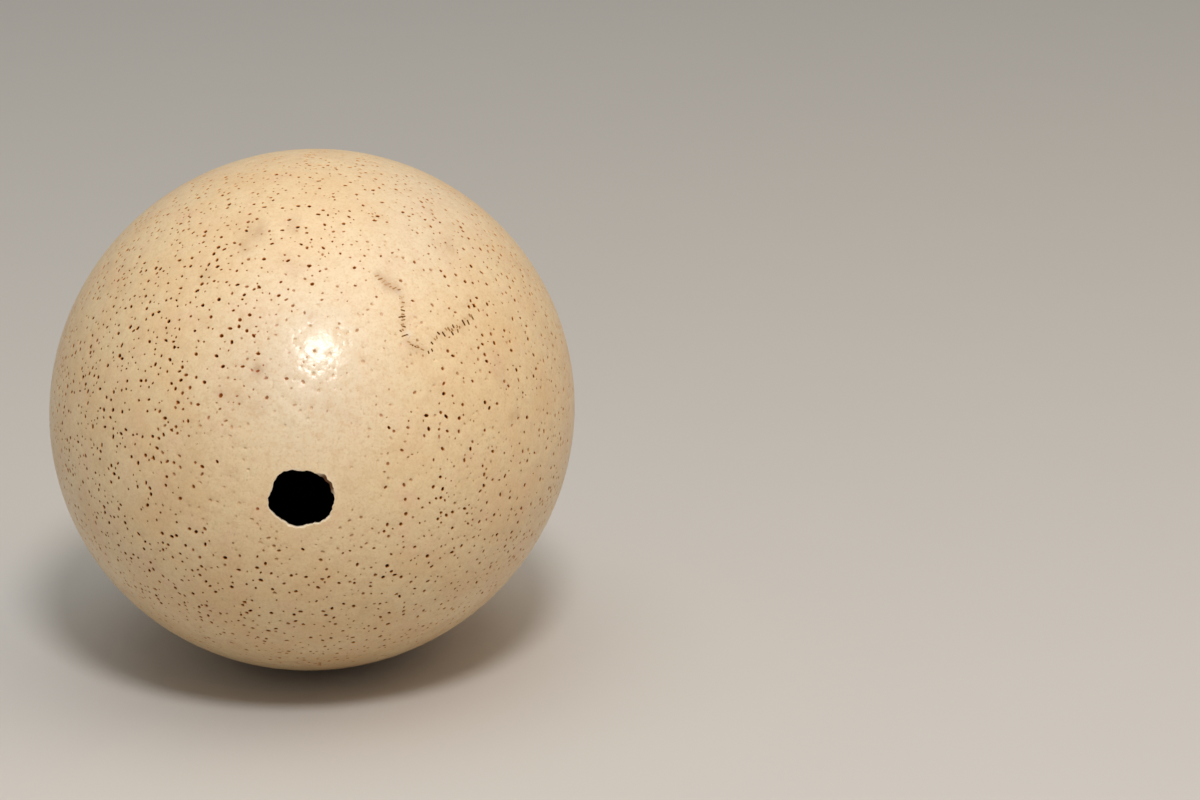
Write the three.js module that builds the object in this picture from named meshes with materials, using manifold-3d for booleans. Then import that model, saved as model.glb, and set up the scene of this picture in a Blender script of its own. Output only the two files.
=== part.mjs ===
// A blown ostrich egg lying on its side: one hollow shell with a ragged blow hole in one end.
// Millimetres. +Y runs along the egg from the holed end to the closed end, +X is to the right
// of someone facing the hole, and +Z is up. The origin is on the resting surface, under the
// middle of the egg's box.
import * as THREE from "three";
import { mergeVertices } from "three/addons/utils/BufferGeometryUtils.js";
import Module from "manifold-3d";

const wasm = await Module();
wasm.setup();

// The shell
const LENGTH = 152; // pole to pole
const GIRTH = 128; // mean diameter at the middle
const FULLNESS = 0.03; // how much fuller the holed half is than the closed half
const OVAL = 0.0105; // the share by which the girth is long one way and short the other
const OVAL_TURN = THREE.MathUtils.degToRad(14.5); // from +X towards +Z, to the girth's long way
const WALL = 2;
const REST_DEPTH = 0.5; // what the small flat that the egg rests on takes off its curve

const OUTER_STEPS = { along: 28, around: 56 };
const INNER_STEPS = { along: 18, around: 36 };

// The broken edge of the blow hole, [x, z] about the pole, anticlockwise from the right.
const HOLE_EDGE = [
  [7.5, -0.6], [6.9, 1.4], [6.6, 3], [5.2, 4.5], [3.2, 5.5], [1.2, 6], [-3.1, 6.1], [-4.6, 5.4],
  [-5.9, 3.7], [-6.5, 1.7], [-7.4, -0.6], [-7.2, -3], [-5.4, -5], [-3.4, -6.5], [-1.2, -7.3],
  [1.3, -6.8], [4.4, -6], [6.2, -4.6], [6.9, -2.7],
];
const HOLE_STEPS = 48; // straight stretches round the edge
const HOLE_REACH = 12; // from the pole into the hollow, well past the wall

// The largest of the pores: small pits spread over the shell by a golden-angle spiral, and shaken.
const PORES = 380;
const PORE_SEED = 20261;
const PORE_SHAKE = 0.25; // radians round the egg's axis
const PORE_RADIUS = { least: 0.5, most: 0.75 };
const PORE_DEPTH = 0.9;
const PORE_SIDES = 5;
const BARE = { x: 6, z: 8, radius: 21 }; // the smooth patch round the blow hole
const GOLDEN_ANGLE = Math.PI * (3 - Math.sqrt(5));
const CONE_TIP = new THREE.Vector3(0, 1, 0);

// Returns a function that draws the next of a fixed row of numbers between 0 and 1.
function drawer(seed) {
  let state = seed;
  return () => {
    state = (state * 48271) % 2147483647;
    return state / 2147483647;
  };
}

// The point of a round egg at angle t from the holed pole and phi about the axis.
function eggPoint(t, phi, length, girth) {
  const out = (girth / 2) * Math.sin(t) * (1 + FULLNESS * Math.cos(t));
  return new THREE.Vector3(out * Math.cos(phi), (-length / 2) * Math.cos(t), out * Math.sin(phi));
}

// Makes a round egg slightly oval about its axis.
function ovalMatrix() {
  const turn = new THREE.Matrix4().makeRotationY(-OVAL_TURN);
  const stretch = new THREE.Matrix4().makeScale(1 + OVAL, 1, 1 - OVAL);
  return turn.clone().multiply(stretch).multiply(turn.clone().invert());
}

function toSolid(geometry) {
  geometry.deleteAttribute("normal");
  geometry.deleteAttribute("uv");
  const merged = mergeVertices(geometry);
  return new wasm.Manifold(
    new wasm.Mesh({
      numProp: 3,
      vertProperties: merged.attributes.position.array,
      triVerts: new Uint32Array(merged.index.array),
    }),
  );
}

function toGeometry(solid) {
  const mesh = solid.getMesh();
  const geometry = new THREE.BufferGeometry();
  geometry.setAttribute("position", new THREE.BufferAttribute(mesh.vertProperties, 3));
  geometry.setIndex(new THREE.BufferAttribute(mesh.triVerts, 1));
  return geometry;
}

// A solid egg about the Y axis.
function eggSolid(length, girth, steps) {
  const profile = [];
  for (let i = 0; i <= steps.along; i++) {
    const point = eggPoint((Math.PI * i) / steps.along, 0, length, girth);
    const onAxis = i === 0 || i === steps.along;
    profile.push(new THREE.Vector2(onAxis ? 0 : point.x, point.y));
  }
  const egg = new THREE.LatheGeometry(profile, steps.around);
  return toSolid(egg.applyMatrix4(ovalMatrix()));
}

// A prism along Y whose section is the blow hole's edge.
function holeCutter() {
  const corners = HOLE_EDGE.map(([x, z]) => new THREE.Vector3(x, z, 0));
  const edge = new THREE.CatmullRomCurve3(corners, true, "centripetal").getPoints(HOLE_STEPS);
  const outline = new THREE.Shape(edge.slice(0, -1).map((p) => new THREE.Vector2(p.x, p.y)));
  const prism = new THREE.ExtrudeGeometry(outline, { depth: 2 * HOLE_REACH, bevelEnabled: false });
  prism.rotateX(Math.PI / 2); // the outline's y becomes z, and the prism runs towards -Y
  prism.translate(0, -LENGTH / 2 + HOLE_REACH, 0);
  return toSolid(prism);
}

// A box below the resting flat.
function floorCutter(lowest) {
  const box = new THREE.BoxGeometry(GIRTH, LENGTH, GIRTH);
  box.translate(0, 0, lowest + REST_DEPTH - GIRTH / 2);
  return toSolid(box);
}

// A cone whose tip points into the shell, and whose middle, at the surface, is as wide as the pore.
function poreCutter(place, radius, spin) {
  const { x, y, z } = place;
  const inward = new THREE.Vector3(-x / GIRTH ** 2, -y / LENGTH ** 2, -z / GIRTH ** 2).normalize();
  const cone = new THREE.ConeGeometry(2 * radius, 2 * PORE_DEPTH, PORE_SIDES);
  cone.rotateY(spin);
  cone.applyQuaternion(new THREE.Quaternion().setFromUnitVectors(CONE_TIP, inward));
  cone.translate(x, y, z);
  return toSolid(cone);
}

function poreCutters() {
  const draw = drawer(PORE_SEED);
  const oval = ovalMatrix();
  const cutters = [];
  for (let i = 0; i < PORES; i++) {
    const t = Math.acos(1 - (2 * (i + draw())) / PORES);
    const phi = i * GOLDEN_ANGLE + PORE_SHAKE * (2 * draw() - 1);
    const radius = THREE.MathUtils.lerp(PORE_RADIUS.least, PORE_RADIUS.most, draw());
    const spin = 2 * Math.PI * draw();
    const place = eggPoint(t, phi, LENGTH, GIRTH).applyMatrix4(oval);
    const bare = place.y < 0 && Math.hypot(place.x - BARE.x, place.z - BARE.z) < BARE.radius;
    if (!bare) cutters.push(poreCutter(place, radius, spin));
  }
  return wasm.Manifold.union(cutters);
}

function shellGeometry() {
  const outside = eggSolid(LENGTH, GIRTH, OUTER_STEPS);
  const hollow = eggSolid(LENGTH - 2 * WALL, GIRTH - 2 * WALL, INNER_STEPS);
  const shell = outside
    .subtract(floorCutter(outside.boundingBox().min[2]))
    .subtract(poreCutters())
    .subtract(hollow)
    .subtract(holeCutter());
  const { min, max } = shell.boundingBox();
  const geometry = toGeometry(shell);
  return geometry.translate(-(min[0] + max[0]) / 2, -(min[1] + max[1]) / 2, -min[2]);
}

const ivory = new THREE.MeshStandardMaterial({
  color: 0xe6cda4,
  roughness: 0.42,
  metalness: 0,
  flatShading: true,
});
const shell = new THREE.Mesh(shellGeometry(), ivory);
shell.name = "eggshell";

const egg = new THREE.Group();
egg.add(shell);
export default egg;
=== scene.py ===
import itertools
import math

import bpy
import numpy as np
from mathutils import Matrix, Vector, noise
from mathutils.geometry import delaunay_2d_cdt
from mathutils.kdtree import KDTree


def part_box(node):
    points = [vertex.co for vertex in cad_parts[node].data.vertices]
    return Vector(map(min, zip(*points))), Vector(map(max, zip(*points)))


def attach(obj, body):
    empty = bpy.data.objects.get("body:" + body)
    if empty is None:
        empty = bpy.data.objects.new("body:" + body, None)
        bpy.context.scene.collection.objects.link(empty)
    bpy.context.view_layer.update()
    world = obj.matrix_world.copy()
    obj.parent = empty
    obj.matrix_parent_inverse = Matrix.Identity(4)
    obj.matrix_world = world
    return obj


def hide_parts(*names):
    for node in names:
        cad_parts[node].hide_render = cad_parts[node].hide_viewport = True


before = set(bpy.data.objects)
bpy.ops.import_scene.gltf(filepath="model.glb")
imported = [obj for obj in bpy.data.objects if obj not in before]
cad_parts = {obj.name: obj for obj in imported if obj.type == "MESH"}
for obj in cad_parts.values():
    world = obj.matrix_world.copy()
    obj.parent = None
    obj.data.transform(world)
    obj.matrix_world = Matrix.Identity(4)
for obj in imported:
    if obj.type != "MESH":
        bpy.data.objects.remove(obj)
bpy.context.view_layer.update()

MM = 0.001

# ---- The egg, as the solid has it ----

LENGTH = 152.0
GIRTH = 128.0
FULLNESS = 0.03  # how much fuller the holed half is than the closed half
OVAL = 0.0105  # the share by which the girth is long one way and short the other
OVAL_TURN = math.radians(14.5)  # from +X towards +Z, to the girth's long way
WALL = 2.0
REST_DEPTH = 0.5
INSET = 0.1  # the fine surface lies this far inside the solid's, so that it stays in its box

# The broken edge of the blow hole, (x, z) about the pole, anticlockwise from the right.
HOLE_EDGE = [
    (7.5, -0.6), (6.9, 1.4), (6.6, 3.0), (5.2, 4.5), (3.2, 5.5), (1.2, 6.0), (-3.1, 6.1), (-4.6, 5.4),
    (-5.9, 3.7), (-6.5, 1.7), (-7.4, -0.6), (-7.2, -3.0), (-5.4, -5.0), (-3.4, -6.5), (-1.2, -7.3),
    (1.3, -6.8), (4.4, -6.0), (6.2, -4.6), (6.9, -2.7),
]

# The solid's pores: the largest ones, on a golden-angle spiral.
SOLID_PORES = 380
SOLID_PORE_SEED = 20261
SOLID_PORE_SHAKE = 0.25
SOLID_PORE_RADIUS = (0.5, 0.75)
BARE = (6.0, 8.0, 21.0)  # x, z and radius of the smooth patch round the blow hole
GOLDEN_ANGLE = math.pi * (3 - math.sqrt(5))
ASKEW = (0.31, 0.12, 0.94)  # any way along which no pore looks, to lay its ring out from
ROUNDS = 12  # enough for the egg's fullness and a place's way to agree

_, cad_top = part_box("eggshell")
AXIS_HEIGHT = (cad_top.z / MM + REST_DEPTH) / 2 - REST_DEPTH
MIDDLE = np.array([0.0, cad_top.y / MM - LENGTH / 2, AXIS_HEIGHT])  # the egg's frame in the row frame


def oval_matrix():
    """Makes points of a round egg slightly oval about its axis."""
    c, s = math.cos(OVAL_TURN), math.sin(OVAL_TURN)
    turn = np.array([[c, 0, -s], [0, 1, 0], [s, 0, c]])
    return turn @ np.diag([1 + OVAL, 1, 1 - OVAL]) @ turn.T


class Skin:
    """One face of the shell: an egg that lies `depth` below the solid's outer surface."""

    def __init__(self, depth):
        self.half = LENGTH / 2 - depth
        self.radius = GIRTH / 2 - depth
        self.oval = oval_matrix()
        self.round = np.linalg.inv(self.oval)

    def points(self, ways):
        """The surface points that unit vectors stand for."""
        wide = self.radius * (1 - FULLNESS * ways[:, 1])
        spread = np.column_stack([wide, np.full(len(ways), self.half), wide])
        return (ways * spread) @ self.oval.T

    def ways(self, points):
        """The unit vectors that stand for the surface points nearest to these points."""
        flat = points @ self.round.T
        wide = self.radius * (1 - FULLNESS * np.clip(flat[:, 1] / self.half, -1, 1))
        return unit(flat / np.column_stack([wide, np.full(len(points), self.half), wide]))

    def normals(self, points):
        return unit((points @ self.round.T) / np.array([self.radius, self.half, self.radius]) ** 2)

    def near_pole(self, places):
        """The unit vectors of surface points on the holed half at these (x, z) places."""
        flat = np.column_stack([places[:, 0], np.zeros(len(places)), places[:, 1]]) @ self.round.T
        along = np.full(len(places), -1.0)
        for _ in range(ROUNDS):
            side = flat[:, [0, 2]] / (self.radius * (1 - FULLNESS * along))[:, None]
            along = -np.sqrt(np.clip(1 - (side**2).sum(1), 0, 1))
        return np.column_stack([side[:, 0], along, side[:, 1]])


def unit(vectors):
    return vectors / np.linalg.norm(vectors, axis=1, keepdims=True)


OUTER = Skin(INSET)
INNER = Skin(WALL)


def drawer(seed):
    """Draws the numbers between 0 and 1 that the solid's own pores were placed by."""
    factor, modulus = 48271, 2**31 - 1
    state = seed
    while True:
        state = (state * factor) % modulus
        yield state / modulus


def smooth(x, low, high):
    """0 below low, 1 above high, and an even S between."""
    s = np.clip((x - low) / (high - low), 0, 1)
    return s * s * (3 - 2 * s)


def wobble(points, size, seed=0.0):
    """Even noise, about -1 to 1, whose lumps are `size` across."""
    lift = Vector((seed, 2.7 * seed, -1.3 * seed))
    return np.array([noise.noise(Vector(p) / size + lift) for p in points])


def bumps(points, patches):
    """The sum of soft round patches on the holed half: (x, z, radius, amount)."""
    total = np.zeros(len(points))
    front = smooth(-points[:, 1], -10, 10)  # they fade out over the girth
    for x, z, radius, amount in patches:
        away = ((points[:, 0] - x) ** 2 + (points[:, 2] - z) ** 2) / radius**2
        total += amount * front * np.exp(-away)
    return total


# ---- The pores ----

FINE_TRIES = 20000  # places tried for a fine pore
CROWDING = 0.66  # the share of those places that are wanted where pores are neither dense nor sparse
UNEVEN = 0.2  # how far that share wanders by chance, up and down
FINE_RADIUS = (0.18, 0.42)  # of a fine pore's pit, least and most
FINE_BIAS = 1.4  # above 1, more of them are small
SOLID_SHRINK = 0.57  # the fine pit's radius as a share of the solid's five-sided one
PORE_EDGE = 1.5  # a pore's soft edge, in radii of its dark pit
PORE_GAP = 0.12  # the least gap between two soft edges
ROOM = (0.52, 0.84)  # half the distance that two pores keep, least and most
TWIN_SHARE = 0.26  # of pores may come closer, as if in pairs
TWIN_ROOM = 0.2
DISTINCT_ROOM = 0.25  # what every other pore keeps from the soft edge of one that stands out
GRID_CELL = 2.2  # no two pores that are farther apart than this can be in each other's way

# The smooth patch as the fine pores have it: x, z and radius. Then how much of the pores' number, size
# and darkness is lost there, and how strong the patch is where that sets in and where it is full.
SOFT_BARE = (2.0, 5.0, 16.0)
BARE_LOST = {"number": (0.74, 0.15, 0.75), "size": (0.2, 0.2, 0.8), "dark": (0.45, 0.1, 0.7)}

# Where the pores are denser (above 0) and sparser (below 0) than elsewhere: x, z, radius and amount.
DENSER = [
    (-24.0, 30.0, 17.0, 0.35),
    (32.0, -10.0, 14.0, 0.25),
    (54.0, -2.0, 17.0, -0.25),
    (40.0, 28.0, 8.0, -0.35),
    (36.0, 13.0, 8.0, 0.25),
]

# Where they are darker (above 0) and fainter (below 0).
DARKER = [
    (-32.0, 32.0, 16.0, 0.28),
    (-47.0, 12.0, 19.0, 0.60),
    (-27.0, 10.0, 12.0, -0.25),
    (-8.0, 9.0, 20.0, -0.50),
    (10.0, 6.0, 14.0, -0.36),
    (12.0, 30.0, 15.0, -0.30),
    (-3.0, 36.0, 10.0, -0.20),
    (26.0, 47.0, 10.0, -0.26),
    (45.0, 28.0, 12.0, -0.06),
    (25.0, 30.0, 9.0, -0.22),
    (26.0, 8.0, 9.0, 0.08),
    (-16.0, -2.0, 12.0, -0.26),
    (-36.0, -18.0, 12.0, 0.28),
    (8.0, -16.0, 10.0, -0.10),
    (41.0, 12.0, 12.0, -0.28),
    (4.0, -34.0, 12.0, 0.10),
]
DARKNESS = 0.35  # of a pit of the middling radius
MIDDLING_RADIUS = 0.20
DARK_BY_RADIUS = 1.05  # for each millimetre more
DARK_BY_CHANCE = 0.5  # from the faintest draw to the darkest
DARK_CLOUDS = 0.10
FARTHER_DARK = 0.09  # how much darker they are past the holed end's near side
FARTHER = (-62.0, -25.0)  # where along the egg that sets in, and where it is full
FAINTEST = 0.05

# Where they are rusty.
RUSTIER = [
    (-24.0, 28.0, 18.0, 0.65),
    (-8.0, 30.0, 14.0, 0.3),
    (0.0, 50.0, 18.0, 0.3),
    (26.0, 10.0, 12.0, 0.4),
]
RUST_BY_CHANCE = 0.2
RUST_CLOUDS = 0.15

# The pores that stand out, by kind: pit radius, darkness and rust, and each one's (x, z).
DISTINCT = [
    (0.42, 1.0, 0.2, [  # large and dark
        (-24.0, 42.0), (-40.0, 32.5), (-42.0, 28.5), (-18.0, -16.0), (-10.0, -21.5), (19.0, -19.0),
        (33.0, 15.0), (28.5, 16.0),
    ]),
    (0.38, 1.0, 0.1, [  # dark
        (-13.0, 53.5), (-1.0, 54.5), (-21.5, 47.0), (-14.5, 44.0), (-22.5, 39.5), (-34.5, 36.0),
        (-43.0, 30.5), (-37.0, 22.5), (-45.5, 23.5), (-42.0, 10.0), (-35.0, -2.5), (-24.5, -10.0),
        (-22.5, -13.0), (4.5, -32.0), (18.0, -22.0), (32.5, 20.0), (42.0, 16.0), (43.0, 14.5),
        (42.5, 24.5), (49.5, 20.5), (38.5, 6.5), (32.0, -1.5), (46.5, -2.5), (44.5, -17.5),
    ]),
    (0.39, 0.8, 0.4, [  # brown
        (-15.5, 33.0), (-19.0, 30.0), (-17.5, 28.0), (-30.0, 28.0), (-33.5, 26.5), (29.0, 13.0),
    ]),
    (0.33, 0.8, 0.2, [(-19.0, 7.5), (0.0, -13.0), (20.0, 14.5), (31.5, 1.5)]),  # small and alone
    (0.38, 0.6, 0.8, [  # rusty
        (-18.0, 50.0), (-11.5, 38.5), (-20.5, 37.5), (-10.5, 34.5), (-28.0, 19.5), (-36.0, 6.5),
        (-22.5, 6.0), (-15.0, -19.0), (36.0, 14.0),
    ]),
    (0.46, 0.4, 1.0, [(-18.0, 22.0)]),  # the rustiest
    (0.35, 0.2, 0.8, [(-9.5, 27.5), (-10.0, -3.0)]),  # rust and hardly a pit
]


def solid_pores():
    """The ways and radii of the pores that the solid carries."""
    draw = drawer(SOLID_PORE_SEED)
    ways, radii = [], []
    for i in range(SOLID_PORES):
        t = math.acos(1 - 2 * (i + next(draw)) / SOLID_PORES)
        phi = i * GOLDEN_ANGLE + SOLID_PORE_SHAKE * (2 * next(draw) - 1)
        least, most = SOLID_PORE_RADIUS
        radii.append(least + (most - least) * next(draw))
        next(draw)  # the spin of the solid's five-sided pit
        ways.append((math.sin(t) * math.cos(phi), -math.cos(t), math.sin(t) * math.sin(phi)))
    ways, radii = np.array(ways), np.array(radii)
    places = OUTER.points(ways)
    x, z, radius = BARE
    bare = (places[:, 1] < 0) & (np.hypot(places[:, 0] - x, places[:, 2] - z) < radius)
    return ways[~bare], radii[~bare]


def distinct_pores():
    """The places, pit radii, darkness and rust of the pores that stand out."""
    rows = [(x, z, *look) for *look, spots in DISTINCT for x, z in spots]
    x, z, radii, dark, rust = np.array(rows).T
    return OUTER.points(OUTER.near_pole(np.column_stack([x, z]))), radii, dark, rust


def apart(gap, radii, room):
    """Whether two pores a gap apart keep out of each other's soft edge, and keep their room."""
    return (gap**2).sum() > max(PORE_EDGE * radii + PORE_GAP, room) ** 2


def neighbours(grid, key):
    """What the grid holds in a cell and in those that touch it."""
    steps = itertools.product((-1, 0, 1), repeat=3)
    return [j for step in steps for j in grid.get(tuple(k + s for k, s in zip(key, step)), ())]


def left(bare, what):
    """The share of the pores' number, size or darkness that the smooth patch leaves."""
    most, low, high = BARE_LOST[what]
    return 1 - most * smooth(bare, low, high)


def pore_looks(places, radii, bare, draw):
    """How dark and how rusty pores are, from two draws for each."""
    dark = DARKNESS + DARK_BY_RADIUS * (radii - MIDDLING_RADIUS) + DARK_BY_CHANCE * (draw[:, 0] - 0.5)
    dark += bumps(places, DARKER) + DARK_CLOUDS * wobble(places, size=12.0, seed=7.7)
    dark += FARTHER_DARK * smooth(places[:, 1], *FARTHER)
    dark *= left(bare, "dark")
    rust = RUST_BY_CHANCE * draw[:, 1] ** 2 + draw[:, 1] ** 3 * bumps(places, RUSTIER)
    rust += RUST_CLOUDS * wobble(places, size=11.0, seed=1.9)
    return np.clip(dark, FAINTEST, 1), np.clip(rust, 0, 1)


def scatter_pores(seed, blocked):
    """The pores that stand out, and others at random between them, never touching: arrays of places,
    pit radii, darkness and rust."""
    random = np.random.RandomState(seed)
    distinct = distinct_pores()
    big_ways, big_radii = solid_pores()
    ways = unit(random.normal(size=(FINE_TRIES, 3)))
    places = OUTER.points(np.vstack([big_ways, ways]))
    chance = random.random_sample(len(places))
    size = random.random_sample(len(places))
    room = random.uniform(*ROOM, len(places))
    room[random.random_sample(len(places)) < TWIN_SHARE] = TWIN_ROOM
    bare = bumps(places, [(*SOFT_BARE, 1.0)])
    wanted = CROWDING * left(bare, "number")
    wanted *= 1 + UNEVEN * wobble(places, size=18.0, seed=3.1) + bumps(places, DENSER)
    wanted[: len(big_ways)] = 1
    least, most = FINE_RADIUS
    radii = least + (most - least) * size**FINE_BIAS
    radii[: len(big_ways)] = SOLID_SHRINK * big_radii
    radii *= left(bare, "size")
    distinct_tree = tree_of(distinct[0])
    grid, kept = {}, []
    for i, p in enumerate(places):
        if chance[i] > wanted[i] or blocked(p, radii[i]):
            continue
        _, nearest, away = distinct_tree.find(p)
        if away < PORE_EDGE * (radii[i] + distinct[1][nearest]) + DISTINCT_ROOM:
            continue
        key = tuple((p // GRID_CELL).astype(int))
        near = neighbours(grid, key)
        if all(apart(p - places[j], radii[i] + radii[j], room[i] + room[j]) for j in near):
            grid.setdefault(key, []).append(i)
            kept.append(i)
    kept = np.array(kept)
    places, radii = places[kept], radii[kept]
    draw = random.random_sample((len(kept), 2))
    scattered = places, radii, *pore_looks(places, radii, bare[kept], draw)
    return [np.concatenate(pair) for pair in zip(distinct, scattered)]


def rings(places, radii, reach, count, spin, long):
    """`count` points round each place, on an oval at `reach` times its radius, as unit vectors."""
    normals = OUTER.normals(places)
    first = unit(np.cross(normals, ASKEW))
    second = np.cross(normals, first)
    side = np.cos(spin)[:, None] * first + np.sin(spin)[:, None] * second
    other = np.cross(normals, side)
    start = 0.5 if reach < 1 else 0  # the points of an inner ring lie between the outer ring's
    out = []
    for k in range(count):
        a = 2 * math.pi * (k + start) / count
        offset = math.cos(a) * (1 + long)[:, None] * side + math.sin(a) * (1 - long)[:, None] * other
        out.append(places + offset * (reach * radii)[:, None])
    return OUTER.ways(np.stack(out, 1).reshape(-1, 3))


# ---- The scratched V ----

# Its boldest strokes: x, z, the way it lies in degrees from +X to +Z, length and darkness.
BOLD = [
    (23.3, 38.1, -20.0, 1.2, 0.6), (23.1, 36.9, 0.0, 1.8, 0.75), (23.5, 35.0, -25.0, 1.2, 0.65),
    (22.8, 34.2, -30.0, 0.7, 0.6), (23.7, 33.2, 10.0, 1.6, 0.75), (26.1, 30.7, -25.0, 1.7, 0.8),
    (29.1, 29.1, -70.0, 0.8, 0.8), (29.9, 29.4, -65.0, 0.8, 0.9), (29.9, 30.8, -50.0, 0.9, 0.9),
    (31.4, 32.5, -45.0, 1.0, 0.9), (32.6, 32.1, -55.0, 1.5, 0.8), (34.6, 31.9, -60.0, 1.1, 1.0),
    (34.8, 33.2, -60.0, 1.0, 0.7), (35.8, 32.3, -75.0, 1.4, 0.6), (37.2, 33.4, -60.0, 1.7, 0.9),
    (38.3, 33.2, -65.0, 1.3, 0.7), (39.2, 34.0, -60.0, 1.5, 0.6),
]
# The stretches of its faint strokes: (x, z) along each, the strokes' way, and the step between them.
ARMS = [
    ([(17.3, 45.8), (19.0, 43.9), (22.4, 41.6)], 8.0, 0.85),
    ([(22.9, 41.2), (23.5, 38.9)], -4.0, 0.62),
    ([(23.1, 37.5), (23.4, 34.2)], -10.0, 0.9),
    ([(24.3, 32.2), (25.0, 31.2), (28.6, 29.6)], -32.0, 1.2),
    ([(30.4, 31.5), (33.5, 32.9), (36.4, 32.7), (38.4, 34.4)], -58.0, 0.65),
]
FAINT_LENGTH = (0.6, 1.3)
FAINT_TONE = (0.18, 0.48)
FAINT_SHAKE = 0.7  # how far a faint stroke strays from its arm, from side to side
FAINT_LEAN = 40.0  # degrees that it leans, from one way to the other
STROKE_CORE = 0.06  # half the width of a stroke's darkest part
STROKE_WIDTH = 0.2  # and of all of it
STROKE_DEPTH = 0.08
STROKE_SIDES = (-0.34, 0, 0.34)  # where along it the points of its core and sides are, in lengths
STROKE_TIPS = (-0.56, 0.56)
STROKE_ROOM = 1.05  # no pore centre within this distance of a stroke's middle
STROKE_GAP = 0.42  # least distance between the middles of two strokes


def walk(points, step):
    """Places every `step` along a line of straight stretches."""
    points = np.array(points, float)
    lengths = np.linalg.norm(np.diff(points, axis=0), axis=1)
    along = np.concatenate([[0], np.cumsum(lengths)])
    want = np.arange(step / 2, along[-1], step)
    return np.column_stack([np.interp(want, along, points[:, k]) for k in (0, 1)])


def strokes(seed):
    """Each stroke of the V as its middle (x, z), its angle, length and darkness."""
    random = np.random.RandomState(seed)
    made = [((x, z), math.radians(angle), length, tone) for x, z, angle, length, tone in BOLD]
    for path, angle, step in ARMS:
        for x, z in walk(path, step):
            dx, dz, turn, size, tone = random.random_sample(5)
            middle = (x + FAINT_SHAKE * (dx - 0.5), z + FAINT_SHAKE * (dz - 0.5))
            if min(math.dist(middle, line[0]) for line in made) < STROKE_GAP:
                continue
            lean = math.radians(angle + FAINT_LEAN * (turn - 0.5))
            length = FAINT_LENGTH[0] + size * (FAINT_LENGTH[1] - FAINT_LENGTH[0])
            faintness = FAINT_TONE[0] + tone * (FAINT_TONE[1] - FAINT_TONE[0])
            made.append((middle, lean, length, faintness))
    return made


# ---- The blow hole's edge ----

RIM_STEPS = 160
FINE_CHIPS = 0.20  # how far fine, coarse and single sharp chips move the edge
COARSE_CHIPS = 0.12
NICKS = 0.40
CHAMFER = 0.22  # how far the outer rim is worn back from the hole
WORN = 0.5  # the share of that which is worn everywhere
CHIPPED = 1.8  # and the share more at the deepest chip
WORN_SLOPE = 0.5  # how steeply the worn edge runs down to the hole
WORN_MOST = 0.6  # it runs down no farther than this
GUARD = 0.13  # from the outer rim to the ring of points that keeps its colour off the shell
FLAKED = 0.15  # how much farther back a flake has left the rim
FLAKE_UNEVEN = 0.3
SCAR = 0.35  # how far the flake's brown scar reaches into the solid's hole
SCAR_SLOPE = 0.25  # how steeply the scar runs down
SCAR_ROUND = (-4, 16, 40, 64)  # where it sets in, is full, fades and ends: degrees from +X to +Z
LIP_HIGHLIGHT = 0.22  # how much wider than elsewhere the guard is at the lip, where the chalk colour is partly a painted highlight line
LIP_HIGHLIGHT_ROUND = (82, 92, 112, 122)
BREAK_BACK = 0.04  # from the solid's edge back to the top of the break
THROAT_BACK = 0.06  # to the ring of points part of the way down it
THROAT_UNEVEN = 0.10
THROAT_DEPTH = 1.1
INNER_BACK = 0.22  # and to the inner rim
INNER_UNEVEN = 0.16
EDGE_TINT = 0.4  # how much of the broken edge's colour its outer rim has


def closed_curve(corners, count):
    """Evenly spaced points on a smooth closed curve through the corners."""
    corners = np.array(corners, float)
    n = len(corners)
    s = np.linspace(0, n, 40 * n, endpoint=False)
    i = s.astype(int)
    f = (s - i)[:, None]
    before, here, after, beyond = (corners[(i + k) % n] for k in (-1, 0, 1, 2))
    # The Catmull-Rom curve between `here` and `after`, from its three coefficients.
    slope = after - before
    bend = 2 * before - 5 * here + 4 * after - beyond
    twist = 3 * (here - after) + beyond - before
    fine = here + 0.5 * f * (slope + f * (bend + f * twist))
    lengths = np.linalg.norm(np.roll(fine, -1, 0) - fine, axis=1)
    along = np.concatenate([[0], np.cumsum(lengths)])
    want = np.linspace(0, along[-1], count, endpoint=False)
    closed = np.vstack([fine, fine[:1]])
    return np.column_stack([np.interp(want, along, closed[:, k]) for k in (0, 1)])


def ragged(count, random, soften):
    """Uneven values from about -1 to 1 round a ring, softened over that many neighbours."""
    values = random.uniform(-1, 1, count)
    for _ in range(soften):
        values = (values + np.roll(values, 1) + np.roll(values, -1)) / 3
    return values / np.abs(values).max()


def stretch(edge, limits):
    """1 along a stretch of the hole's edge and 0 elsewhere, with soft ends."""
    angle = np.degrees(np.arctan2(edge[:, 1], edge[:, 0]))
    start, full, fading, end = limits
    return smooth(angle, start, full) * (1 - smooth(angle, fading, end))


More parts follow.
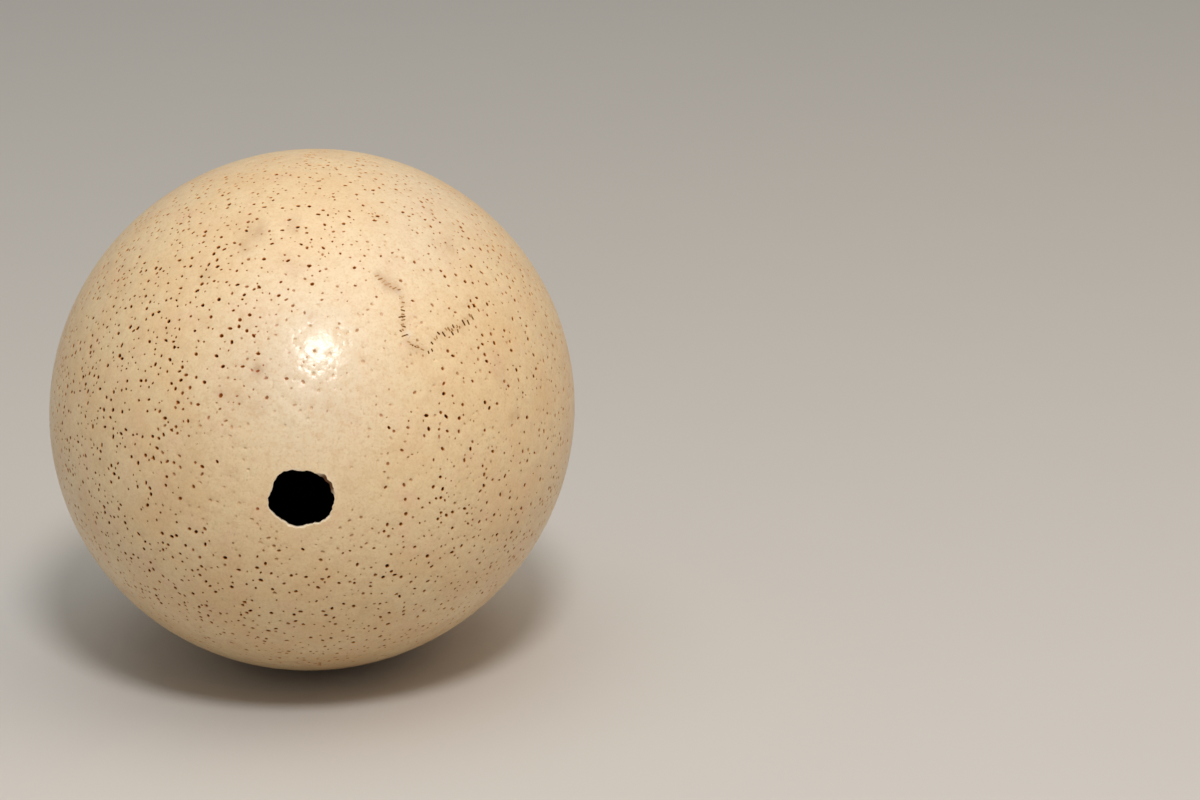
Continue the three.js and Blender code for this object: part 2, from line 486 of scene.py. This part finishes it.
def rim_rings(seed):
    """The hole's edge as five rings of (x, z) and depth, each so far back from the hole: the guard and
    the outer rim on the outer surface, two down the break, and the inner rim on the inner surface."""
    random = np.random.RandomState(seed)
    edge = closed_curve(HOLE_EDGE, RIM_STEPS)
    ahead = np.roll(edge, -1, 0) - np.roll(edge, 1, 0)
    outward = unit(np.column_stack([ahead[:, 1], -ahead[:, 0]]))
    fine, coarse = ragged(RIM_STEPS, random, 1), ragged(RIM_STEPS, random, 5)
    chip = ragged(RIM_STEPS, random, 3)
    nicks = np.maximum(ragged(RIM_STEPS, random, 1), 0) ** 4
    edge = edge + outward * (FINE_CHIPS * fine + COARSE_CHIPS * coarse + NICKS * nicks)[:, None]
    flaked = stretch(edge, SCAR_ROUND)
    worn = CHAMFER * (WORN + CHIPPED * np.maximum(chip, 0))
    worn += FLAKED * flaked * (1 + FLAKE_UNEVEN * fine)
    slope = WORN_SLOPE + (SCAR_SLOPE - WORN_SLOPE) * flaked
    scar = SCAR * flaked
    # The guard is wider at the lip, so that the chalky edge there also paints a thin highlight line.
    guard = worn + GUARD + LIP_HIGHLIGHT * stretch(edge, LIP_HIGHLIGHT_ROUND)
    throat = THROAT_BACK - scar + THROAT_UNEVEN * ragged(RIM_STEPS, random, 2)
    inner = INNER_BACK + INNER_UNEVEN * ragged(RIM_STEPS, random, 3)
    back_and_depth = [
        (guard, INSET),
        (worn, INSET),
        (BREAK_BACK - scar, INSET + slope * np.minimum(worn + scar, WORN_MOST)),
        (throat, THROAT_DEPTH),
        (inner, WALL),
    ]
    level = np.zeros(RIM_STEPS)
    return [(edge + outward * back[:, None], level + depth) for back, depth in back_and_depth]


# ---- The shell's mesh ----

RIM_ROOM = 0.9  # how far a pore's soft edge keeps from the hole's rim
LONGEST = 0.28  # how much longer one way, and shorter the other, the most oval pore is
WIDE_PORE = 0.32  # a pit of a larger radius has two rings of points instead of one
WIDE_RING = 0.72  # the inner one of them, in radii of the pit
PIT_DEPTH = 1.1  # of a pit's middle, in radii
PIT_FULL = 0.9  # how far into a pore that depth is reached
DIMPLE_REACH = 3.2  # the shallow dimple round a pore, in radii of its pit
DIMPLE_DEPTH = 0.12  # and its depth
DIMPLES = 3  # so many pores at most dimple one point
FINE_WAVE = 0.012  # the depth of the skin's own fine unevenness
BROAD_WAVE = 0.06  # and of its broad one
FILL_STEPS = 15000  # places tried between the pores, so that the curve stays smooth there
FILL_ROOM = 0.75  # how far such a place keeps from a pore's edge
FILL_RIM_ROOM = 0.5  # and from the hole's rim
FILL_AXIS_ROOM = 5.5  # and from the egg's axis on the holed half, as it would be in the hole
INNER_POINTS = 1500
INNER_AXIS_ROOM = 10.5  # the same for the inner surface's points


def spiral(count):
    """Unit vectors spread evenly over the ball."""
    i = np.arange(count)
    along = 1 - 2 * (i + 0.5) / count
    across = np.sqrt(1 - along**2)
    phi = GOLDEN_ANGLE * i
    return np.column_stack([across * np.cos(phi), -along, across * np.sin(phi)])


def tree_of(points):
    tree = KDTree(len(points))
    for i, p in enumerate(points):
        tree.insert(p, i)
    tree.balance()
    return tree


def triangulate(ways, rim_count):
    """Triangles over unit vectors, of which the first `rim_count` are the hole's edge in order.
    Seen from the hole's pole, the ball maps to a plane where its best triangles are the plane's."""
    plane = ways[:, [0, 2]] / (1 + ways[:, 1])[:, None]
    rim = [(i, (i + 1) % rim_count) for i in range(rim_count)]
    _, _, faces, origins, _, _ = delaunay_2d_cdt([Vector(p) for p in plane], rim, [], 1, 1e-9)
    source = np.array([o[0] for o in origins])
    return source[np.array(faces)]


def facing(faces, points, outward):
    """The same triangles, each turned to face away from the egg's middle, or towards it."""
    a, b, c = (points[faces[:, k]] for k in range(3))
    sign = (np.cross(b - a, c - a) * (a + b + c)).sum(1)
    wrong = sign < 0 if outward else sign > 0
    faces = faces.copy()
    faces[wrong] = faces[wrong][:, ::-1]
    return faces


def labelled(ways, pore=0.0, owner=-1, mark=0.0):
    """Unit vectors with how far each point is into a pore, which pore that is, and how far a stroke
    marks it."""
    return [ways] + [np.broadcast_to(label, len(ways)) for label in (pore, owner, mark)]


def pore_points(places, radii, seed):
    """Each pore's middle, and the rings of points round it."""
    random = np.random.RandomState(seed)
    spin = random.uniform(0, 2 * math.pi, len(places))
    long = random.uniform(0, LONGEST, len(places))
    wide = radii > WIDE_PORE
    made = [labelled(OUTER.ways(places), pore=1.0, owner=np.arange(len(places)))]
    # Which pores have a ring, how far out it is in radii, and how many points it has.
    for chosen, reach, count in ((wide, WIDE_RING, 6), (wide, PORE_EDGE, 6), (~wide, PORE_EDGE, 5)):
        these = np.flatnonzero(chosen)
        ways = rings(places[these], radii[these], reach, count, spin[these], long[these])
        made.append(labelled(ways, pore=1 - reach / PORE_EDGE, owner=np.repeat(these, count)))
    return made


def stroke_points(lines):
    """Each stroke's narrow core, its two tips and its two sides. Only the core is marked, and sunk."""
    made = []
    for (x, z), angle, length, tone in lines:
        along = np.array([math.cos(angle), math.sin(angle)])
        across = np.array([-along[1], along[0]])
        local = [(s * length, w * STROKE_CORE, tone) for s in STROKE_SIDES for w in (-1, 1)]
        local += [(s * length, 0, 0) for s in STROKE_TIPS]
        local += [(s * length, w * STROKE_WIDTH, 0) for s in STROKE_SIDES for w in (-1, 1)]
        spots = np.array([np.array([x, z]) + u * along + v * across for u, v, _ in local])
        made.append(labelled(OUTER.near_pole(spots), mark=[m for _, _, m in local]))
    return made


def filling(pore_tree, radii, rim_tree, line_tree):
    """Unit vectors spread wherever nothing else is near."""
    ways = spiral(FILL_STEPS)
    keep = []
    for i, p in enumerate(OUTER.points(ways)):
        _, nearest, away = pore_tree.find(p)
        if away < PORE_EDGE * radii[nearest] + FILL_ROOM:
            continue
        if p[1] < 0 and math.hypot(p[0], p[2]) < FILL_AXIS_ROOM:
            continue
        if rim_tree.find(p)[2] >= FILL_RIM_ROOM and line_tree.find(p)[2] > STROKE_ROOM:
            keep.append(i)
    return ways[keep]


def sinking(points, pore, owner, mark, radii, pore_tree):
    """How deep each point of the outer surface is sunk, in strokes, pits, dimples and waves."""
    sunk = STROKE_DEPTH * mark
    sunk += np.where(owner >= 0, PIT_DEPTH * radii[owner] * smooth(pore, 0.0, PIT_FULL), 0)
    for i, p in enumerate(points):
        for _, j, away in pore_tree.find_n(p, DIMPLES):
            near = away / (DIMPLE_REACH * radii[j])
            if near < 1:
                sunk[i] += DIMPLE_DEPTH * radii[j] * (1 - near * near) ** 2
    fine = FINE_WAVE * wobble(points, size=6.5, seed=5.5)
    broad = BROAD_WAVE * (1 + wobble(points, size=34.0, seed=9.1)) / 2
    return sunk + (fine + broad)


def outer_skin(rim, guard, seed):
    """The outer surface: unit vectors, how deep each point is sunk, and what marks it."""
    rim_ways = np.vstack([OUTER.near_pole(rim), OUTER.near_pole(guard)])
    rim_tree = tree_of(OUTER.points(rim_ways))
    lines = strokes(seed)
    line_tree = tree_of(OUTER.points(OUTER.near_pole(np.array([middle for middle, *_ in lines]))))

    def blocked(place, radius):
        if rim_tree.find(place)[2] < RIM_ROOM + PORE_EDGE * radius:
            return True
        return line_tree.find(place)[2] < STROKE_ROOM

    places, radii, dark, rust = scatter_pores(seed, blocked)
    pore_tree = tree_of(places)
    groups = [labelled(rim_ways)]
    groups += pore_points(places, radii, seed + 1)
    groups += stroke_points(lines)
    groups += [labelled(filling(pore_tree, radii, rim_tree, line_tree))]
    ways, pore, owner, mark = (np.concatenate(column) for column in zip(*groups))
    sunk = sinking(OUTER.points(ways), pore, owner, mark, radii, pore_tree)
    sunk[: len(rim_ways)] = 0
    marks = {
        "pore": pore,
        "dark": np.where(owner >= 0, dark[owner], 0),
        "rust": np.where(owner >= 0, rust[owner], 0),
        "mark": mark,
    }
    return ways, sunk, marks


def throat(rims):
    """The points of the rings between the two surfaces, each on the straight way through the wall."""
    made = []
    for places, depth in rims:
        top, bottom = (skin.points(skin.near_pole(places)) for skin in (OUTER, INNER))
        share = ((depth - INSET) / (WALL - INSET))[:, None]
        made.append(top * (1 - share) + bottom * share)
    return made


def inner_skin(rim):
    """The inner surface as unit vectors."""
    fill = spiral(INNER_POINTS)
    spots = INNER.points(fill)
    away = np.hypot(spots[:, 0], spots[:, 2])
    clear = (spots[:, 1] > 0) | (away > INNER_AXIS_ROOM)
    return np.vstack([INNER.near_pole(rim), fill[clear]])


def band(upper, lower):
    """The triangles between two rings of points, given the number of each one's first point."""
    ring = np.arange(RIM_STEPS)
    ahead = np.roll(ring, -1)
    return [
        np.column_stack([upper + ring, upper + ahead, lower + ahead]),
        np.column_stack([upper + ring, lower + ahead, lower + ring]),
    ]


# Soft brown stains: x, z, radius and strength.
STAINS = [
    (-9.5, 53.6, 1.6, 0.5),
    (-2.0, 54.6, 1.3, 0.5),
    (-13.5, 50.5, 1.6, 0.35),
    (-12.0, 52.5, 2.6, 0.25),
    (-22.2, 45.0, 1.6, 0.35),
    (34.0, 47.7, 1.3, 0.45),
    (17.8, 45.4, 1.4, 0.30),
    (20.0, 43.5, 1.5, 0.45),
    (22.0, 42.2, 1.0, 0.30),
    (-9.6, 27.5, 1.6, 0.45),
    (-18.3, 22.2, 1.5, 0.3),
    (-13.5, 21.1, 2.2, 0.25),
    (-21.6, 36.8, 1.2, 0.4),
    (49.3, 11.0, 1.2, 0.4),
    (-30.0, -2.0, 5.0, 0.16),
    (-18.0, -16.0, 6.0, 0.12),
    (-24.0, 12.0, 7.0, 0.12),
    (-12.0, 30.0, 8.0, 0.10),
    (26.0, 30.0, 3.0, 0.14),
]
BLOTCHY = 0.6  # how unevenly they lie
GRIME = 0.35  # the strength of the dirty line along the V's arms
GRIME_WIDTH = 0.7
GRIME_STEP = 0.4
CLOUDY = 0.18  # the strength of the faint clouds

# Soft paler places: x, z, radius and strength. The first lies round the key light's highlight and is
# partly painted sheen: it whitens the shell where the highlight's broad reflection falls.
PALE_AND_SHEEN = [(2.0, 28.0, 21.0, 0.85), (28.0, 52.0, 15.0, 0.5), (22.0, 41.9, 0.6, 0.9), (24.5, 33.3, 0.6, 0.9)]


def stain(points):
    """How stained each point is: the soft stains, the V's dirty line and faint cloudiness."""
    blotch = bumps(points, STAINS) * (1 + BLOTCHY * wobble(points, size=1.7, seed=4.2))
    front = points[:, 1] < 0
    line = np.zeros(len(points))
    for path, *_ in ARMS:
        for x, z in walk(path, GRIME_STEP):
            away = ((points[:, 0] - x) ** 2 + (points[:, 2] - z) ** 2) / GRIME_WIDTH**2
            line = np.maximum(line, np.where(front, np.exp(-away), 0))
    cloud = 0.5 * wobble(points, size=9.0, seed=2.2) + 0.5 * wobble(points, size=4.0, seed=6.1)
    return np.clip(blotch + GRIME * line + CLOUDY * smooth(cloud, 0.12, 0.6), 0, 1)


def painted(outer, marks, rim, starts, total):
    """What the material reads at each point. The outer surface's first two rings of points are the rim
    and its guard, and the hole's other three rings start at `starts[1:]`."""
    # The pale places include a painted sheen round the key light's highlight.
    values = {**marks, "stain": stain(outer), "pale": bumps(outer, PALE_AND_SHEEN)}
    values = {name: np.concatenate([v, np.zeros(total - len(v))]) for name, v in values.items()}
    flaked = stretch(rim, SCAR_ROUND)
    values["rust"][:RIM_STEPS] = flaked
    values["rust"][starts[1] : starts[3]] = np.tile(flaked, 2)
    edge = np.zeros(total)
    # The outer rim takes the full chalk colour along the flake and the lip; at the lip this is partly a
    # painted highlight line.
    edge[:RIM_STEPS] = EDGE_TINT + (1 - EDGE_TINT) * np.maximum(flaked, stretch(rim, LIP_HIGHLIGHT_ROUND))
    edge[RIM_STEPS : 2 * RIM_STEPS] = EDGE_TINT * flaked
    edge[starts[1] : starts[3] + RIM_STEPS] = 1
    inside = np.zeros(total)
    inside[starts[3] :] = 1
    return {**values, "edge": edge, "inside": inside}


def shell_mesh(seed):
    """One closed mesh: the outer surface, the hole's broken edge and the inner surface."""
    rims = rim_rings(seed)
    outer_ways, sunk, marks = outer_skin(rims[1][0], rims[0][0], seed)
    outer = OUTER.points(outer_ways)
    outer = outer - OUTER.normals(outer) * sunk[:, None]
    inner_ways = inner_skin(rims[4][0])
    inner = INNER.points(inner_ways)
    points = np.vstack([outer, *throat(rims[2:4]), inner])

    # The outer rim, the two rings of the throat and the inner rim start at these points.
    starts = np.cumsum([0, len(outer), RIM_STEPS, RIM_STEPS])
    faces = [facing(triangulate(outer_ways, RIM_STEPS), outer, True)]
    for upper, lower in zip(starts[:-1], starts[1:]):
        faces += band(upper, lower)
    faces.append(facing(triangulate(inner_ways, RIM_STEPS), inner, False) + starts[3])
    values = painted(outer, marks, rims[1][0], starts, len(points))

    # Points that fell within the hole carry no face, and go.
    used, faces = np.unique(np.vstack(faces), return_inverse=True)
    points = points[used] + MIDDLE
    points[:, 2] = np.maximum(points[:, 2], 0)
    return points, faces.reshape(-1, 3), {name: v[used] for name, v in values.items()}


# ---- Where each part of the surface is baked ----

INNER_STRIP = 0.06  # the share of the map's height that the inner surface takes
INNER_FROM = 0.6  # of the wall's thickness: a face that lies deeper is the inner surface's
TILE_MARGIN = 0.035  # of a tile's side, left round it
STRIP_MARGIN = (0.05, 0.08)  # the same for each half of the strip, across and up
STRIP_MIDDLE = (0.5, 0.52)


def bake_layout(points, faces):
    """The outer surface is cut into a cube's six tiles, three by two, and the inner one is a strip."""
    middles = points[faces].mean(1) - MIDDLE
    corners = points[faces] - MIDDLE
    scale = np.array([GIRTH, LENGTH, GIRTH]) / 2
    ways = middles / scale
    depth = np.linalg.norm(ways, axis=1)
    inside = depth < 1 - INNER_FROM * 2 * WALL / GIRTH
    axis = np.abs(ways).argmax(1)
    sign = np.take_along_axis(np.sign(ways), axis[:, None], 1)[:, 0]
    tile = 2 * axis + (sign > 0)
    flat = corners / scale
    out = np.zeros((len(faces), 3, 2))
    for number in range(6):
        here = (tile == number) & ~inside
        a = number // 2
        first, second = [k for k in range(3) if k != a]
        up = np.abs(flat[here][:, :, a])
        spots = np.stack([flat[here][:, :, k] / up for k in (first, second)], -1)
        spots = np.arctan(spots) * 4 / math.pi  # -1 to 1, with the sizes evened out
        spots = spots * (0.5 - TILE_MARGIN) + 0.5
        column, row = number % 3, number // 3
        out[here, :, 0] = (spots[:, :, 0] + column) / 3
        out[here, :, 1] = (spots[:, :, 1] + row) / 2 * (1 - INNER_STRIP)
    for half in (0, 1):
        here = inside & ((ways[:, 1] > 0) == bool(half))
        spots = unit(flat[here].reshape(-1, 3)).reshape(-1, 3, 3)[:, :, [0, 2]]
        across, up = (spots[:, :, k] * (0.5 - STRIP_MARGIN[k]) + STRIP_MIDDLE[k] for k in (0, 1))
        out[here, :, 0] = (across + half) / 2
        out[here, :, 1] = 1 - INNER_STRIP + up * INNER_STRIP
    return out


# ---- Materials ----

CREAM = "E6CC9F"
PALER_AND_SHEEN = "E2D2B7"
STAIN = "925A2E"
PORE_RING, PORE_PIT, PORE_HEART = "BE7200", "7C4200", "2C1000"
RUST = "AC4C14"
STROKE_SIDE, STROKE_HEART = "B27A2C", "462600"
CHALK_AND_HIGHLIGHT, SCAR_BROWN = "EEDCBE", "5E3816"
INNER_BROWNS = ("2E1C12", "4A3020")
FLOOR = ("C2BEB8", "C4C0BA")
STAIN_SHARE = 0.62  # how much of a stain's colour shows at its strongest
PORE_SHAKE = 0.07  # how far a pore's soft edge strays, as a share of the way into the pore
SATIN = (0.42, 0.52)  # the shell's roughness, least and most
GLOSS = 0.42  # the weight of its coat
GRAIN_DEPTH = 0.05

# Clouds over the shell's colour: their own colour and greatest share, the size, detail and roughness
# of their noise, and where on its scale from 0 to 1 they set in and are full.
CLOUDS = [
    ("E2C292", 1.0, 13.0, 3.0, 0.55, 0.35, 0.68),
    ("E3BD98", 0.5, 7.0, 4.0, 0.6, 0.5, 0.72),
]
SPECKLES = [
    ("D4B386", 0.40, 1.9, 3.0, 0.6, 0.42, 0.75),
    ("CCA172", 0.34, 0.6, 2.0, 0.55, 0.44, 0.75),
    ("F1DFC2", 0.40, 0.5, 2.0, 0.55, 0.60, 0.80),
]


def hexed(code):
    """A colour as shaders take it, from its six hex digits."""
    parts = [int(code[i : i + 2], 16) / 255 for i in (0, 2, 4)]
    return tuple(p / 12.92 if p < 0.04045 else ((p + 0.055) / 1.055) ** 2.4 for p in parts) + (1.0,)


class Shader:
    """A material whose node tree is written as nested calls."""

    def __init__(self, name):
        self.material = bpy.data.materials.new(name)
        self.material.use_nodes = True
        self.tree = self.material.node_tree
        self.tree.nodes.clear()
        self.surface = self.node("ShaderNodeBsdfPrincipled")
        output = self.node("ShaderNodeOutputMaterial")
        self.tree.links.new(self.surface.outputs["BSDF"], output.inputs["Surface"])

    def node(self, kind, **settings):
        made = self.tree.nodes.new(kind)
        for name, value in settings.items():
            setattr(made, name, value)
        return made

    def put(self, socket, value):
        if isinstance(value, bpy.types.NodeSocket):
            self.tree.links.new(value, socket)
        else:
            socket.default_value = value

    def place(self):
        return self.node("ShaderNodeTexCoord").outputs["Object"]

    def value(self, name):
        return self.node("ShaderNodeAttribute", attribute_name=name).outputs["Fac"]

    def noise(self, size, detail=3.0, rough=0.55):
        """Noise from 0 to 1 whose lumps are about `size` millimetres across."""
        made = self.node("ShaderNodeTexNoise")
        self.put(made.inputs["Vector"], self.place())
        made.inputs["Scale"].default_value = 1 / (size * MM)
        made.inputs["Detail"].default_value = detail
        made.inputs["Roughness"].default_value = rough
        return made.outputs["Fac"]

    def ramp(self, value, low, high, start=0.0, end=1.0):
        """start below low, end above high, and an even S between."""
        made = self.node("ShaderNodeMapRange", interpolation_type="SMOOTHSTEP")
        names = ("Value", "From Min", "From Max", "To Min", "To Max")
        for name, v in zip(names, (value, low, high, start, end)):
            self.put(made.inputs[name], v)
        return made.outputs["Result"]

    def math(self, kind, a, b=0.0):
        made = self.node("ShaderNodeMath", operation=kind)
        self.put(made.inputs[0], a)
        self.put(made.inputs[1], b)
        return made.outputs["Value"]

    def mix(self, share, a, b):
        made = self.node("ShaderNodeMix", data_type="RGBA", clamp_factor=True)
        self.put(made.inputs["Factor"], share)
        self.put(made.inputs[6], a)
        self.put(made.inputs[7], b)
        return made.outputs[2]

    def clouded(self, colour, clouds):
        for code, most, size, detail, rough, low, high in clouds:
            share = self.ramp(self.noise(size, detail, rough), low, high, 0.0, most)
            colour = self.mix(share, colour, hexed(code))
        return colour


def eggshell_material():
    s = Shader("eggshell")
    # The shell's own colour: cream, clouded with tan and a little pink, paled in places, and stained.
    # The paling round the key light's highlight is partly painted sheen.
    colour = s.clouded(hexed(CREAM), CLOUDS)
    colour = s.mix(s.value("pale"), colour, hexed(PALER_AND_SHEEN))
    colour = s.clouded(colour, SPECKLES)
    colour = s.mix(s.math("MULTIPLY", s.value("stain"), STAIN_SHARE), colour, hexed(STAIN))

    # The pores: a dark pit with a soft, uneven edge, and rust round some of them.
    shake = s.ramp(s.noise(0.45, 2.0), 0.2, 0.8, -PORE_SHAKE, PORE_SHAKE)
    shaken = s.math("ADD", s.value("pore"), shake)
    ring = s.math("MULTIPLY", s.ramp(shaken, 0.0, 0.22), s.value("dark"))
    colour = s.mix(s.ramp(ring, 0.0, 0.8, 0.0, 0.95), colour, hexed(PORE_RING))
    rust = s.math("MULTIPLY", s.ramp(shaken, 0.0, 0.45), s.value("rust"))
    colour = s.mix(s.math("MULTIPLY", rust, 0.9), colour, hexed(RUST))
    pit = s.math("MULTIPLY", s.ramp(shaken, 0.18, 0.50), s.value("dark"))
    colour = s.mix(s.ramp(pit, 0.0, 0.50), colour, hexed(PORE_PIT))
    colour = s.mix(s.ramp(pit, 0.32, 0.90), colour, hexed(PORE_HEART))

    # The strokes of the V.
    colour = s.mix(s.ramp(s.value("mark"), 0.0, 0.3, 0.0, 0.7), colour, hexed(STROKE_SIDE))
    colour = s.mix(s.ramp(s.value("mark"), 0.08, 0.75), colour, hexed(STROKE_HEART))

    # The broken edge, and the inner surface in dark browns.
    # The broken edge is chalky, and brown where flaked; at the lip its chalk colour is partly a painted
    # highlight line.
    edge = s.mix(s.value("rust"), hexed(CHALK_AND_HIGHLIGHT), hexed(SCAR_BROWN))
    colour = s.mix(s.value("edge"), colour, edge)
    inner_brown = s.mix(s.noise(5.0), *map(hexed, INNER_BROWNS))
    colour = s.mix(s.ramp(s.value("inside"), 0.5, 0.95), colour, inner_brown)
    s.put(s.surface.inputs["Base Color"], colour)

    # A satin skin under a thin gloss. The pores and the strokes are dull, and the broken edge nearly so.
    rough = s.ramp(s.noise(3.0, 3.0), 0.3, 0.7, *SATIN)
    dull = s.math("MAXIMUM", shaken, s.value("mark"))
    rough = s.math("MAXIMUM", rough, s.ramp(dull, 0.1, 0.4, 0.0, 1.0))
    rough = s.math("MAXIMUM", rough, s.math("MULTIPLY", s.value("edge"), 0.8))
    s.put(s.surface.inputs["Roughness"], rough)
    s.put(s.surface.inputs["Coat Weight"], s.ramp(dull, 0.08, 0.35, GLOSS, 0.0))
    s.put(s.surface.inputs["Coat Roughness"], 0.2)
    s.put(s.surface.inputs["Specular IOR Level"], 0.24)

    # The finest grain, like leather.
    grain = s.node("ShaderNodeBump")
    s.put(grain.inputs["Strength"], 0.8)
    s.put(grain.inputs["Distance"], GRAIN_DEPTH * MM)
    leather = s.math("MULTIPLY", s.noise(2.2, 2.0), 1.5)
    s.put(grain.inputs["Height"], s.math("ADD", s.noise(0.9, 3.0, 0.6), leather))
    s.put(s.surface.inputs["Normal"], grain.outputs["Normal"])
    s.put(s.surface.inputs["Coat Normal"], grain.outputs["Normal"])
    return s.material


def floor_material():
    s = Shader("pale_floor")
    s.put(s.surface.inputs["Base Color"], s.mix(s.noise(60.0), *map(hexed, FLOOR)))
    s.put(s.surface.inputs["Roughness"], 0.8)
    return s.material


# ---- Objects ----

SEED = 11
FLOOR_REACH = 4000.0
CALM = 0.65  # the share of the egg's own normal in that of a point between the pores


def add_mesh(name, points, faces, material):
    mesh = bpy.data.meshes.new(name)
    mesh.from_pydata((np.asarray(points) * MM).tolist(), [], np.asarray(faces).tolist())
    mesh.materials.append(material)
    made = bpy.data.objects.new(name, mesh)
    bpy.context.scene.collection.objects.link(made)
    return made


def calm_normals(mesh, points, values):
    """The mesh's own normals in the pits and the hole, and nearly the egg's own between them, so that
    the light on the smooth shell doesn't show where its triangles meet."""
    own = np.empty(3 * len(points))
    mesh.vertex_normals.foreach_get("vector", own)
    own = own.reshape(-1, 3)
    marked = values["pore"] + values["mark"] + values["edge"] + values["inside"]
    calm = (marked == 0) & (points[:, 2] > 0)
    egg = OUTER.normals(points - MIDDLE)
    own[calm] = unit((1 - CALM) * own[calm] + CALM * egg[calm])
    return own


def build_shell():
    points, faces, values = shell_mesh(SEED)
    shell = add_mesh("fine_eggshell", points, faces, eggshell_material())
    mesh = shell.data
    mesh.shade_smooth()
    for name, v in values.items():
        layer = mesh.attributes.new(name, "FLOAT", "POINT")
        layer.data.foreach_set("value", v.astype(np.float32))
    mesh.normals_split_custom_set_from_vertices(calm_normals(mesh, points, values))
    layout = mesh.uv_layers.new(name="OFBake")
    layout.data.foreach_set("uv", bake_layout(points, faces).astype(np.float32).ravel())
    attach(shell, "root")
    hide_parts("eggshell")


def build_floor():
    corners = [(x * FLOOR_REACH, y * FLOOR_REACH, 0) for x, y in ((-1, -1), (1, -1), (1, 1), (-1, 1))]
    floor = add_mesh("floor", corners, [(0, 1, 2, 3)], floor_material())


# ---- Camera and light ----

LENS, SENSOR = 100.0, 36.0
CAMERA_DISTANCE = 829.73  # from the egg's middle
CAMERA_FROM = (2.625, 15.867)  # azimuth and elevation of the camera, from the egg's middle
CAMERA_AIM = (-2.467, 15.839)  # the same of the way that its view comes from, so the egg shows left


def way(around, above):
    """A unit vector from degrees: azimuth 0 points to -Y, and grows towards +X."""
    around, above = math.radians(around), math.radians(above)
    level = math.cos(above)
    return Vector((math.sin(around) * level, -math.cos(around) * level, math.sin(above)))


def aim(made, place, forward):
    made.matrix_world = Matrix.Translation(place) @ forward.to_track_quat("-Z", "Y").to_matrix().to_4x4()


def build_camera():
    middle = Vector(MIDDLE) * MM
    camera = bpy.data.objects.new("camera", bpy.data.cameras.new("camera"))
    camera.data.lens = LENS
    camera.data.sensor_width = SENSOR
    camera.data.clip_start = 0.01
    aim(camera, middle + way(*CAMERA_FROM) * CAMERA_DISTANCE * MM, -way(*CAMERA_AIM))
    bpy.context.scene.collection.objects.link(camera)
    bpy.context.scene.camera = camera


# Each lamp: name, azimuth and elevation in degrees, distance and size in metres, power, colour.
LAMPS = [
    ("key", 8.5, 50.8, 1.1, 0.22, 6.9, (0.93, 0.92, 0.94)),
    ("top", 0.0, 88.0, 3.0, 3.2, 32.0, (0.94, 0.98, 0.96)),
    ("right", 75.0, 55.0, 1.6, 1.2, 4.0, (1.0, 0.66, 0.34)),
]
WORLD = (1.0, 0.98, 0.96)
WORLD_STRENGTH = 0.3


def build_lights():
    middle = Vector(MIDDLE) * MM
    for name, around, above, distance, size, power, colour in LAMPS:
        lamp = bpy.data.lights.new(name, "AREA")
        lamp.shape = "DISK"
        lamp.size = size
        lamp.energy = power
        lamp.color = colour
        made = bpy.data.objects.new(name, lamp)
        toward = way(around, above)
        aim(made, middle + toward * distance, -toward)
        bpy.context.scene.collection.objects.link(made)
    world = bpy.data.worlds.new("studio")
    world.use_nodes = True
    background = world.node_tree.nodes["Background"]
    background.inputs["Color"].default_value = (*WORLD, 1.0)
    background.inputs["Strength"].default_value = WORLD_STRENGTH
    bpy.context.scene.world = world
    bpy.context.scene.view_settings.view_transform = "Standard"


build_camera()
build_floor()
build_lights()
build_shell()
